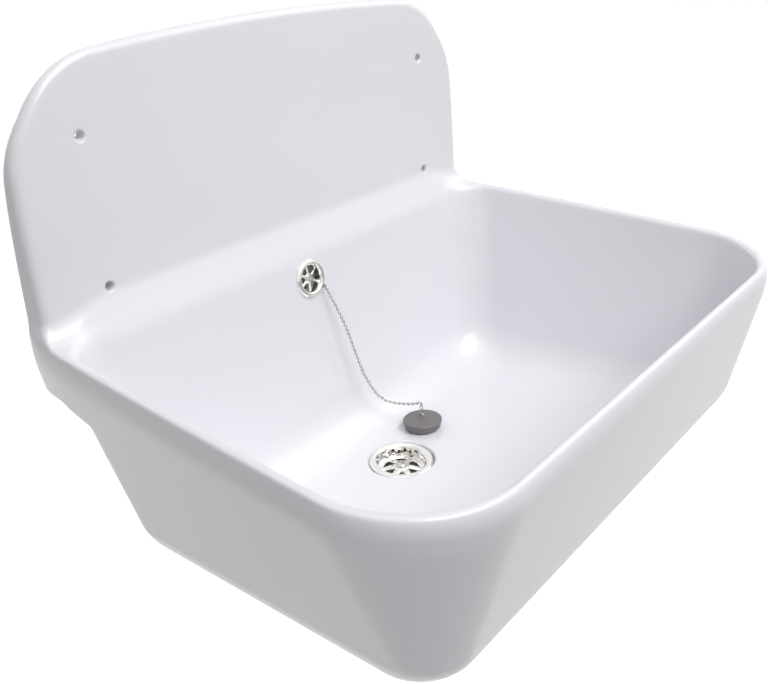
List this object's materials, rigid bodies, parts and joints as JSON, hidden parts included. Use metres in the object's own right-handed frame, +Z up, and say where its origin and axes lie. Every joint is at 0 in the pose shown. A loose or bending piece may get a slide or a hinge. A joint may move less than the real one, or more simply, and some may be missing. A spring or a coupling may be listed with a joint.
{
  "type": "mop service sink",
  "caption": "Wall-hung utility sink with a moulded back panel, deep drafted bowl, chromed overflow and waste, and a rubber plug on a ball chain.",
  "frame": {"origin": "middle of the four wall fixing holes, on the wall plane", "axes": "+X right along the wall as seen by the user, +Y into the wall (the bowl stands out towards -Y), +Z up"},
  "size_m": [0.575, 0.4015, 0.4955],
  "materials": {
    "white_moulding": "smooth satin-gloss white moulding",
    "chrome": "bright chromed",
    "steel": "plain bright steel",
    "rubber": "matt black seal rubber",
    "pipe_plastic": "white fitting plastic",
    "nut_plastic": "white fluted plastic",
    "brass": "turned brass",
    "plug_rubber": "smooth dark grey rubber"
  },
  "bodies": {
    "sink": {"basin": "white_moulding", "waste_flange": "chrome", "waste_screw": "steel", "flange_seal": "rubber", "under_seal": "rubber", "waste_body": "pipe_plastic", "waste_nut_insert": "brass", "overflow_rosette": "chrome", "overflow_screw": "steel", "overflow_seal": "rubber", "overflow_elbow": "pipe_plastic", "elbow_nut_insert": "brass", "overflow_pipe": "pipe_plastic", "upper_union_nut": "nut_plastic", "lower_union_nut": "nut_plastic", "upper_cone_seal": "rubber", "lower_cone_seal": "rubber", "chain_stay": "chrome"},
    "plug": {"chain_ring": "chrome", "ball_chain": "chrome", "chain_link": "chrome", "plug_eye": "steel", "plug": "plug_rubber"}
  },
  "joints": [
    {"name": "chain_swing", "type": "hinge", "parent": "sink", "child": "plug", "pos_m": [0.012, -0.04606, -0.12581], "axis": [-1, 0, 0], "range_deg": [0, 45]}
  ]
}
